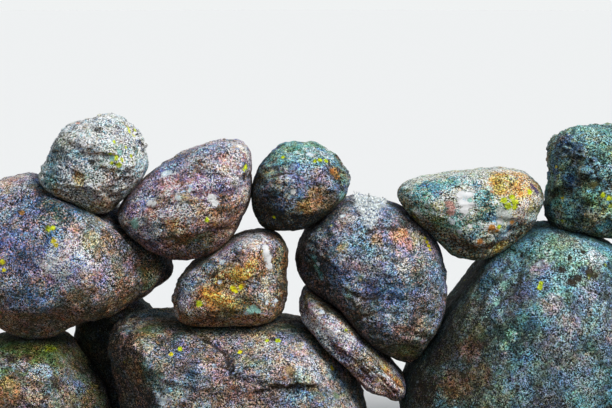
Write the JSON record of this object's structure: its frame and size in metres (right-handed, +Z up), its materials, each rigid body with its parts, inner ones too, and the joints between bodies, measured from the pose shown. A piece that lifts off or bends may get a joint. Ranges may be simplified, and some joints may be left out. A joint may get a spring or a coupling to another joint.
{
  "type": "dry stone wall",
  "caption": "Stretch of single-skin dry stone wall of rounded field boulders, laid without mortar in about three courses with open gaps between the stones.",
  "frame": {"origin": "on the ground, at the middle of the flat foot of the base slab, which stands near the middle of the wall", "axes": "+X along the wall to the right seen from its front, +Y through the wall from front to back, +Z up"},
  "size_m": [3.2831, 0.5578, 0.8826],
  "materials": {
    "purple_gneiss": "weathered, speckled, with crustose lichen",
    "pink_gneiss": "weathered, speckled, with pale lichen",
    "pale_granite": "weathered and pitted, with yellow-green lichen",
    "ochre_gneiss": "weathered, iron-stained, with yellow and mint lichen",
    "teal_gneiss": "weathered, dark, with blue-green lichen film",
    "mossy_gneiss": "weathered, with a film of moss on the upper face",
    "dark_gneiss": "weathered, dark and damp"
  },
  "bodies": {
    "root": {"base_slab": "pink_gneiss", "dark_boulder": "dark_gneiss", "mossy_boulder": "mossy_gneiss", "great_right_boulder": "teal_gneiss", "left_base_boulder": "purple_gneiss", "left_end_base_boulder": "teal_gneiss", "right_base_boulder": "pink_gneiss", "right_end_base_boulder": "mossy_gneiss", "long_left_boulder": "purple_gneiss", "wedge_block": "ochre_gneiss", "leaning_slab": "pale_granite", "heart_boulder": "purple_gneiss", "left_middle_boulder": "pink_gneiss", "left_end_middle_boulder": "ochre_gneiss", "right_middle_boulder": "purple_gneiss", "right_end_middle_boulder": "ochre_gneiss", "tilted_cap_stone": "pink_gneiss", "pale_cap_stone": "pale_granite", "round_cap_stone": "teal_gneiss", "flat_topped_cap_stone": "ochre_gneiss", "square_cap_stone": "teal_gneiss", "left_cap_stone": "teal_gneiss", "left_oval_cap_stone": "pale_granite", "left_end_cap_stone": "purple_gneiss", "right_cap_stone": "pink_gneiss", "right_oval_cap_stone": "teal_gneiss", "right_end_cap_stone": "pale_granite"}
  },
  "joints": []
}
